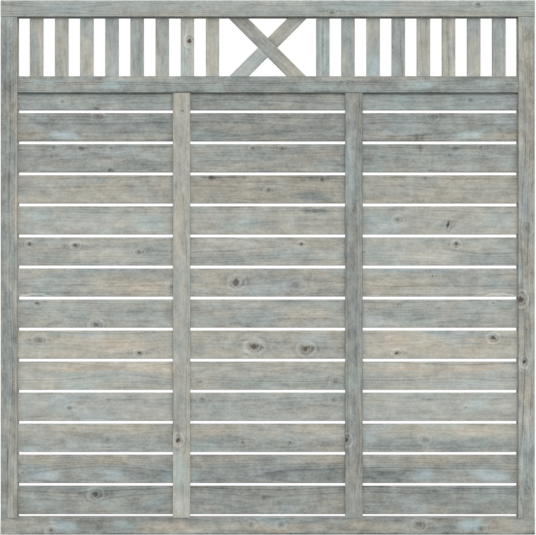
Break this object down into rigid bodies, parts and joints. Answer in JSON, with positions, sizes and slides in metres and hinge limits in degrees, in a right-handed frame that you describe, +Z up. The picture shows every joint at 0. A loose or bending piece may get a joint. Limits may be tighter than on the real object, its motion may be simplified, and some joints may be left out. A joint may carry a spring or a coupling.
{
  "type": "wooden fence panel",
  "caption": "Square softwood fence panel: a grooved frame with spaced horizontal boards behind upright battens, and a picket lattice with a diagonal cross under its top rail.",
  "frame": {"origin": "middle of the underside of the bottom rail", "axes": "+Z up, +X along the panel to the right as seen from the front, the front looks towards -Y"},
  "size_m": [1.8, 0.045, 1.8],
  "materials": {
    "glazed_softwood": "planed, pressure treated, thin silver grey glaze",
    "zinc_steel": "zinc plated, dull"
  },
  "bodies": {
    "root": {"batten_1": "glazed_softwood", "batten_2": "glazed_softwood", "batten_staples": "zinc_steel", "board_01": "glazed_softwood", "board_02": "glazed_softwood", "board_03": "glazed_softwood", "board_04": "glazed_softwood", "board_05": "glazed_softwood", "board_06": "glazed_softwood", "board_07": "glazed_softwood", "board_08": "glazed_softwood", "board_09": "glazed_softwood", "board_10": "glazed_softwood", "board_11": "glazed_softwood", "board_12": "glazed_softwood", "board_13": "glazed_softwood", "bottom_rail": "glazed_softwood", "falling_brace": "glazed_softwood", "frame_screws": "zinc_steel", "left_picket_1": "glazed_softwood", "left_picket_2": "glazed_softwood", "left_picket_3": "glazed_softwood", "left_picket_4": "glazed_softwood", "left_picket_5": "glazed_softwood", "left_picket_6": "glazed_softwood", "left_picket_7": "glazed_softwood", "left_picket_8": "glazed_softwood", "left_stile": "glazed_softwood", "mid_rail": "glazed_softwood", "right_picket_1": "glazed_softwood", "right_picket_2": "glazed_softwood", "right_picket_3": "glazed_softwood", "right_picket_4": "glazed_softwood", "right_picket_5": "glazed_softwood", "right_picket_6": "glazed_softwood", "right_picket_7": "glazed_softwood", "right_picket_8": "glazed_softwood", "right_stile": "glazed_softwood", "ripped_board": "glazed_softwood", "rising_brace": "glazed_softwood", "top_rail": "glazed_softwood"}
  },
  "joints": []
}
